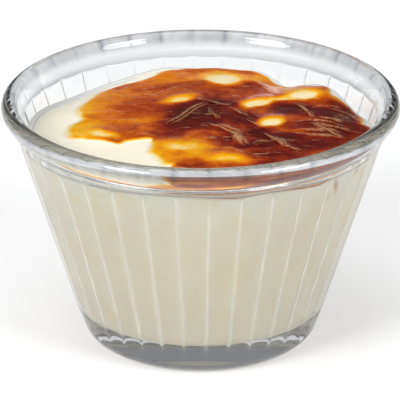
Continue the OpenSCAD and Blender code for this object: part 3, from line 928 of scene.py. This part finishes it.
class RAMEKIN_OT_stage(bpy.types.Operator):
    """Sets the camera at the photograph's angle, the pale floor, the soft lamps and the world"""
    bl_idname = "ramekin.stage"
    bl_label = "Stage"

    def execute(self, context):
        s = context.scene.stage_sizes
        camera = bpy.data.objects.new("camera", bpy.data.cameras.new("camera"))
        context.scene.collection.objects.link(camera)
        context.scene.camera = camera
        camera.data.lens = s.lens
        camera.data.sensor_width = 36
        camera.data.clip_start = 0.01
        camera.data.clip_end = 20
        height = s.middle_h + s.distance * math.sin(s.elevation)
        camera.location = (s.side, -s.distance * math.cos(s.elevation), height)
        camera.rotation_euler = (math.pi / 2 - s.elevation + s.tilt, 0, 0)

        bm = bmesh.new()
        bmesh.ops.create_circle(bm, cap_ends=True, segments=96, radius=s.floor_r)
        mesh = bpy.data.meshes.new("floor")
        bm.to_mesh(mesh)
        bm.free()
        floor = bpy.data.objects.new("floor", mesh)
        context.scene.collection.objects.link(floor)
        mesh.materials.append(self.floor_material())

        # Wide soft lamps: one overhead and one at each side
        for name, place, size, power in LAMPS:
            lamp = bpy.data.lights.new(name, "AREA")
            lamp.shape = "DISK"
            lamp.size = size
            lamp.energy = power
            holder = bpy.data.objects.new(name, lamp)
            context.scene.collection.objects.link(holder)
            holder.location = place
            holder.rotation_euler = holder.location.to_track_quat("Z", "Y").to_euler()

        world = bpy.data.worlds.new("soft_room")
        context.scene.world = world
        world.use_nodes = True
        tree = world.node_tree
        tree.nodes.clear()
        coords = add_node(tree, "TexCoord", {})
        axes = add_node(tree, "SeparateXYZ", {"Vector": coords["Generated"]})
        # The room is dark above a white backdrop, and lighter overhead and behind the object
        high = add_node(tree, "ValToRGB", {0: axes["Z"]}, stops=ROOM_TONES)
        behind = add_node(tree, "MapRange", {
            "Value": axes["Y"], "From Min": 0.5, "From Max": 0.9, "To Min": 0.0, "To Max": 1.0,
        }, interpolation_type="SMOOTHSTEP")
        tone = add_node(tree, "Mix", {
            0: behind[0], 6: high[0], 7: linear(BEHIND_TONE)}, data_type="RGBA")
        backdrop = add_node(tree, "MapRange", {
            "Value": axes["Z"], "From Min": BACKDROP_START, "From Max": BACKDROP_END,
            "To Min": 1.0, "To Max": 0.0}, interpolation_type="SMOOTHSTEP")
        shown = add_node(tree, "Math", {
            0: backdrop[0], 1: white_to_the_eye(tree)}, operation="MULTIPLY")
        seen = add_node(tree, "Mix", {
            0: shown[0], 6: tone[2], 7: linear(WHITE)}, data_type="RGBA")
        background = add_node(tree, "Background", {"Color": seen[2], "Strength": 1.0})
        add_node(tree, "OutputWorld", {"Surface": background[0]})
        context.scene.view_settings.view_transform = "Standard"
        return {"FINISHED"}

    def floor_material(self):
        """Matt pale paper: it glows a little to the eye, so that it nears white and keeps a faint shadow."""
        colours = bpy.context.scene.ramekin_colours
        material, tree, shader, coords = new_material("matt_pale_paper")
        fibres = add_node(tree, "TexNoise", {"Vector": coords, "Scale": 1 / (0.8 * MM), "Detail": 2.0})
        tone = add_node(tree, "Mix", {
            0: fibres[0], 6: linear(colours.paper_low), 7: linear(colours.paper)}, data_type="RGBA")
        glow = add_node(tree, "Math", {0: white_to_the_eye(tree), 1: FLOOR_GLOW}, operation="MULTIPLY")
        set_inputs(tree, shader, {
            "Base Color": tone[2], "Roughness": 0.9, "Specular IOR Level": 0,
            "Emission Color": linear(WHITE), "Emission Strength": glow[0]})
        return material


class RAMEKIN_OT_glass(bpy.types.Operator):
    """Turns one panel of the glass, gives it its flat face and ridges, and repeats it round the wall"""
    bl_idname = "ramekin.glass"
    bl_label = "Glass ramekin"

    def execute(self, context):
        sizes = context.scene.glass_sizes
        section = GlassSection(sizes)
        half = list(range(len(RIDGE_SHARES) + len(PANEL_SHARES)))
        columns = [-n for n in half] + half[-2::-1]
        outlines = [section.outline(column) for column in columns]
        bm = bmesh.new()
        place, step = turn_row(bm, outlines[0], len(columns) - 1, 2 * section.panel, False)
        middle = sizes.ridge_turn - math.pi / 2 + section.panel
        for vert in bm.verts:
            n = vert[step]
            r, z = outlines[n][vert[place]]
            # Column 0 is both the first, on the ridge before the panel, and the last, on the ridge after it
            angle = middle + (section.column(columns[n], z) if n else -section.panel)
            vert.co = (r * math.cos(angle), r * math.sin(angle), z)
        rest = sizes.panel_count - 1
        bmesh.ops.spin(
            bm, geom=bm.verts[:] + bm.edges[:] + bm.faces[:], cent=(0, 0, 0), axis=(0, 0, 1),
            angle=2 * section.panel * rest, steps=rest, use_duplicate=True,
        )
        mesh = close_mesh(bm, "clear_ramekin", 2e-6)
        points, _ = read_mesh(mesh)
        across, height = np.hypot(points[:, 0], points[:, 1]), points[:, 2]
        turn = np.arctan2(points[:, 1], points[:, 0]) - middle
        from_middle = np.abs((turn + section.panel) % (2 * section.panel) - section.panel)
        off = across * np.sin(section.panel - from_middle)
        half_w = np.array([section.ridge_half(z) for z in height])
        wall = np.array([section.cone_r(z) for z in height])
        outer = (across > wall - 1 * MM) & (height < section.step[1])
        # Painted highlight along each ridge of the outer wall, fading out at the foot and under the step
        ridge_painted_highlight = bell(off, half_w) * outer
        ridge_painted_highlight *= smooth((height - sizes.ridge_end_h) / (sizes.foot_start_h - sizes.ridge_end_h))
        ridge_painted_highlight *= smooth((section.step[1] - height) / MM - 1)
        # Painted shade on the lip's outer side, with a darker painted line where each ridge runs up to it
        lip = smooth(LIP_TINT_IN + (across - section.lip_c[0]) / section.lip_r)
        lip *= smooth(LIP_TINT_DOWN + (height - section.lip_c[1]) / section.lip_r)
        lip *= 1 - LIP_LINE + LIP_LINE * bell(off, LIP_LINE_W)
        write_mesh(mesh, points, {"ridge": ridge_painted_highlight, "lip": lip})
        material = glass_material(context.scene.ramekin_colours)
        finish_piece("clear_ramekin", mesh, material, "glass_ramekin")
        return {"FINISHED"}


class RAMEKIN_OT_custard(bpy.types.Operator):
    """Turns the custard to fit the well and shapes its surface"""
    bl_idname = "ramekin.custard"
    bl_label = "Custard"

    def execute(self, context):
        filling = Filling(context.scene)
        glass = filling.glass
        s, wet = glass.sizes, filling.sizes.custard_wet
        low = run((0, s.floor_t - wet), (glass.well_c[0], s.floor_t - wet), FLOOR_STEPS)
        low += arc(glass.well_c, s.well_round + wet, -math.pi / 2, -glass.well_lean, CORNER_STEPS)[1:]
        foot = low[-1]
        top = filling.fill_z * MM
        side = run(foot, (glass.well_r(top) + wet, top), SIDE_STEPS)[1:]
        cap = run(side[-1], (0, top), CUSTARD_RINGS)[1:]
        bm = bmesh.new()
        turn_row(bm, low + side + cap, CUSTARD_SPOKES, math.tau, True)
        mesh = close_mesh(bm, "custard_filling", 1e-7)
        points, place = read_mesh(mesh)
        azimuth = np.arctan2(points[:, 1], points[:, 0])
        # Each vertex's share of the way up the side, and in from the edge
        up = np.clip((place - len(low) + 1) / SIDE_STEPS, 0, 1)
        out = np.clip(1 - (place - len(low) - SIDE_STEPS + 1) / CUSTARD_RINGS, 0, 1)
        x, y = LAYOUT_R * out * np.cos(azimuth), LAYOUT_R * out * np.sin(azimuth)
        drips = np.where(out > 1 - DRIP_SHARE, filling.drips(x, y), 0)
        z = filling.custard_z(x, y) + filling.edge_lift(x, y) - drips
        on_side = up > 0
        height = np.where(up < 1, foot[1] / MM + (z - foot[1] / MM) * up, z)
        radius = (glass.well_r(height * MM) + wet) * out
        points[on_side, 0] = (radius * np.cos(azimuth))[on_side]
        points[on_side, 1] = (radius * np.sin(azimuth))[on_side]
        points[on_side, 2] = (height * MM)[on_side]
        stain = np.zeros(len(points))
        across = np.hypot(points[:, 0], points[:, 1]) / MM
        for at, level, wide, tall, lean, strength in STAINS:
            qx, qy = turned(across * (azimuth - math.radians(at)), points[:, 2] / MM - level, lean)
            stain = np.maximum(stain, strength * np.exp(-(qx / wide) ** 2 - (qy / tall) ** 2))
        write_mesh(mesh, points, {"stain": stain})
        material = custard_material(context.scene.ramekin_colours)
        finish_piece("custard_filling", mesh, material, "custard")
        return {"FINISHED"}


class RAMEKIN_OT_skin(bpy.types.Operator):
    """Turns a fine sheet and lifts it into the blisters and creases of the browned skin"""
    bl_idname = "ramekin.skin"
    bl_label = "Browned skin"

    def execute(self, context):
        filling = Filling(context.scene)
        glass, s = filling.glass, filling.sizes
        thick = s.skin_t
        under = run((0, 0), (LAYOUT_R * MM, 0), UNDER_RINGS)
        upper = run((LAYOUT_R * MM, thick), (0, thick), SKIN_RINGS)
        bm = bmesh.new()
        turn_row(bm, under + upper, SKIN_SPOKES, math.tau, True)
        mesh = close_mesh(bm, "skin_sheet", 1e-7)
        points, place = read_mesh(mesh)
        azimuth = np.arctan2(points[:, 1], points[:, 0])
        upside = place > UNDER_RINGS
        x, y = points[:, 0] / MM, points[:, 1] / MM
        inward = LAYOUT_R - np.hypot(x, y)
        bare = filling.custard_z(x, y)
        drips = filling.drips(x, y) * (inward < DRIP_SHARE * LAYOUT_R)
        low = bare + filling.edge_lift(x, y) - drips - SKIN_SINK
        top = bare + s.skin_t / MM
        u, v = filling.seen(x, y, top + s.brown_rise / MM)
        whole = filling.browning(u, v)
        # A pale ring is left between the browning and the glass, and the runs below it are brown
        brown = np.where(upside, whole * smooth((inward * MM - s.pale_rim_w / 2) / s.pale_rim_w), whole)
        rise, near, pale = filling.creases(u, v)
        # The rim value lifts the skin up the glass and also carries its painted grey shade
        rim = bell(inward, s.pale_rim_w / MM)
        top = top + s.brown_rise / MM * smooth(brown / FULL_SKIN) + rise * (1 - rim) + s.rim_rise / MM * rim
        z = np.where(upside, top, low)
        radius = (glass.well_r(z * MM) + s.skin_wet) * (1 - inward / LAYOUT_R)
        points[:, 0] = radius * np.cos(azimuth)
        points[:, 1] = radius * np.sin(azimuth)
        points[:, 2] = z * MM
        write_mesh(mesh, points, {
            "browning": brown, "crease_far": near, "crease_lift": pale * smooth(brown / FULL_CREASE),
            "rim": np.where(upside, rim, 1 - smooth(whole * UNDERSIDE_GAIN))})
        material = skin_material(context.scene.ramekin_colours)
        finish_piece("skin_sheet", mesh, material, "browned_skin")
        return {"FINISHED"}


class RAMEKIN_PT_panel(bpy.types.Panel):
    """The sizes and the steps of the ramekin"""
    bl_idname = "RAMEKIN_PT_panel"
    bl_label = "Custard ramekin"
    bl_space_type = "VIEW_3D"
    bl_region_type = "UI"
    bl_category = "Ramekin"

    def draw(self, context):
        for group in GROUPS:
            sizes = getattr(context.scene, group)
            for field in sizes.__annotations__:
                self.layout.prop(sizes, field)
        for step in STEPS:
            self.layout.operator(step.bl_idname)


GROUPS = {
    "glass_sizes": GlassSizes,
    "filling_sizes": FillingSizes,
    "ramekin_colours": Colours,
    "stage_sizes": StageSizes,
}
STEPS = (RAMEKIN_OT_stage, RAMEKIN_OT_glass, RAMEKIN_OT_custard, RAMEKIN_OT_skin)


def register():
    for made in (*GROUPS.values(), *STEPS, RAMEKIN_PT_panel):
        bpy.utils.register_class(made)
    for name, group in GROUPS.items():
        setattr(bpy.types.Scene, name, PointerProperty(type=group))


def unregister():
    for name in GROUPS:
        delattr(bpy.types.Scene, name)
    for made in reversed((*GROUPS.values(), *STEPS, RAMEKIN_PT_panel)):
        bpy.utils.unregister_class(made)


def main():
    register()
    bpy.ops.ramekin.stage()
    bpy.ops.ramekin.glass()
    bpy.ops.ramekin.custard()
    bpy.ops.ramekin.skin()


if __name__ == "__main__":
    main()
